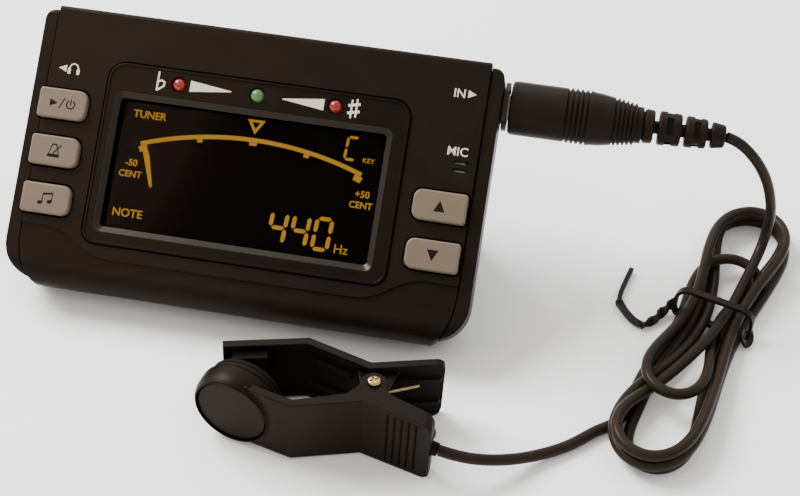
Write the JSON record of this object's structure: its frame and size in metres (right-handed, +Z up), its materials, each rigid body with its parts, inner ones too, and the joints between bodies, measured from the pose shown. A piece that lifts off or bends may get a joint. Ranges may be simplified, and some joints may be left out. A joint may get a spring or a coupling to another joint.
{
  "type": "clip on tuner",
  "caption": "Pocket tuner and metronome leaning on a rear stand, with a jack plug, a thin lead bundled by a twist tie and a spring clip contact pickup",
  "frame": {"origin": "on the table, under the middle of the bounding box of the tuner and the clip, with the cord and plug left out", "axes": "+X along the case's width towards the plug, +Y away from the user, +Z up"},
  "size_m": [0.1809, 0.0991, 0.0518],
  "materials": {
    "case_plastic": "fine satin grain, warm black",
    "bezel_plastic": "smooth, slightly glossy black",
    "lens": "clear and glossy",
    "panel_glass": "dark display glass",
    "diffuser": "milky white",
    "board": "green board",
    "keypad_rubber": "soft matte black",
    "steel": "plain",
    "socket_plastic": "plain black",
    "nickel": "bright nickel plate",
    "battery_sleeve": "printed sleeve, plain",
    "red_lens": "clear tinted dome",
    "green_lens": "clear tinted dome",
    "button_plastic": "satin warm grey",
    "plug_plastic": "satin moulded black",
    "brass": "plain yellow brass",
    "cord_jacket": "satin flexible jacket",
    "tie_plastic": "plastic covered wire"
  },
  "bodies": {
    "tuner": {"rear_cover": "case_plastic", "front_cover": "case_plastic", "display_bezel": "bezel_plastic", "display_lens": "lens", "display_panel": "panel_glass", "backlight": "diffuser", "main_board": "board", "keypad_left": "keypad_rubber", "keypad_right": "keypad_rubber", "mic_capsule": "steel", "speaker": "steel", "stand_pin": "steel", "case_screw_1": "steel", "case_screw_2": "steel", "case_screw_3": "steel", "case_screw_4": "steel", "battery_spring_contact": "steel", "battery_plate_contact": "steel", "input_jack": "socket_plastic", "headphone_jack": "socket_plastic", "input_jack_nut": "nickel", "battery_1": "battery_sleeve", "battery_2": "battery_sleeve", "led_flat": "red_lens", "led_sharp": "red_lens", "led_center": "green_lens"},
    "battery_door": {"battery_cover": "case_plastic"},
    "stand": {"stand_leg": "case_plastic"},
    "lead": {"plug_tip": "nickel", "plug_insulator": "socket_plastic", "plug_sleeve": "nickel", "plug_body": "plug_plastic", "plug_strain_relief": "plug_plastic", "cord_drop": "cord_jacket", "cord_hank": "cord_jacket", "cord_tail": "cord_jacket", "twist_tie": "tie_plastic", "lower_arm": "case_plastic", "disc_cover": "socket_plastic", "piezo_element": "brass", "disc_pad": "keypad_rubber", "pivot_screw": "brass", "torsion_spring": "brass", "cable_gland": "keypad_rubber", "pickup_wire": "cord_jacket"},
    "clip_jaw": {"upper_arm": "case_plastic", "upper_pad": "keypad_rubber"},
    "power_button_cap": {"power_button": "button_plastic"},
    "mode_button_cap": {"mode_button": "button_plastic"},
    "note_button_cap": {"note_button": "button_plastic"},
    "up_button_cap": {"up_button": "button_plastic"},
    "down_button_cap": {"down_button": "button_plastic"}
  },
  "joints": [
    {"name": "plug_pull", "type": "slide", "parent": "tuner", "child": "lead", "axis": [1, 0, 0], "range_m": [0, 0.033]},
    {"name": "clip_open", "type": "hinge", "parent": "lead", "child": "clip_jaw", "pos_m": [0.03655, -0.03335, 0.00865], "axis": [-0.02, -0.0005, -0.9998], "range_deg": [0, 32], "stiffness_Nm_per_rad": 0.25, "springref_deg": -11.46, "deforming": ["torsion_spring"]},
    {"name": "stand_fold", "type": "hinge", "parent": "tuner", "child": "stand", "pos_m": [0.02835, 0.02534, 0.0232], "axis": [1, 0, 0], "range_deg": [-71.9, 0]},
    {"name": "cover_slide", "type": "slide", "parent": "tuner", "child": "battery_door", "axis": [-1, 0, 0], "range_m": [0, 0.066]},
    {"name": "power_press", "type": "slide", "parent": "tuner", "child": "power_button_cap", "axis": [0, 0.6665, -0.7455], "range_m": [0, 0.0008], "stiffness_N_per_m": 1500},
    {"name": "mode_press", "type": "slide", "parent": "tuner", "child": "mode_button_cap", "axis": [0, 0.6665, -0.7455], "range_m": [0, 0.0008], "stiffness_N_per_m": 1500},
    {"name": "note_press", "type": "slide", "parent": "tuner", "child": "note_button_cap", "axis": [0, 0.6665, -0.7455], "range_m": [0, 0.0008], "stiffness_N_per_m": 1500},
    {"name": "up_press", "type": "slide", "parent": "tuner", "child": "up_button_cap", "axis": [0, 0.6665, -0.7455], "range_m": [0, 0.0008], "stiffness_N_per_m": 1500},
    {"name": "down_press", "type": "slide", "parent": "tuner", "child": "down_button_cap", "axis": [0, 0.6665, -0.7455], "range_m": [0, 0.0008], "stiffness_N_per_m": 1500}
  ]
}
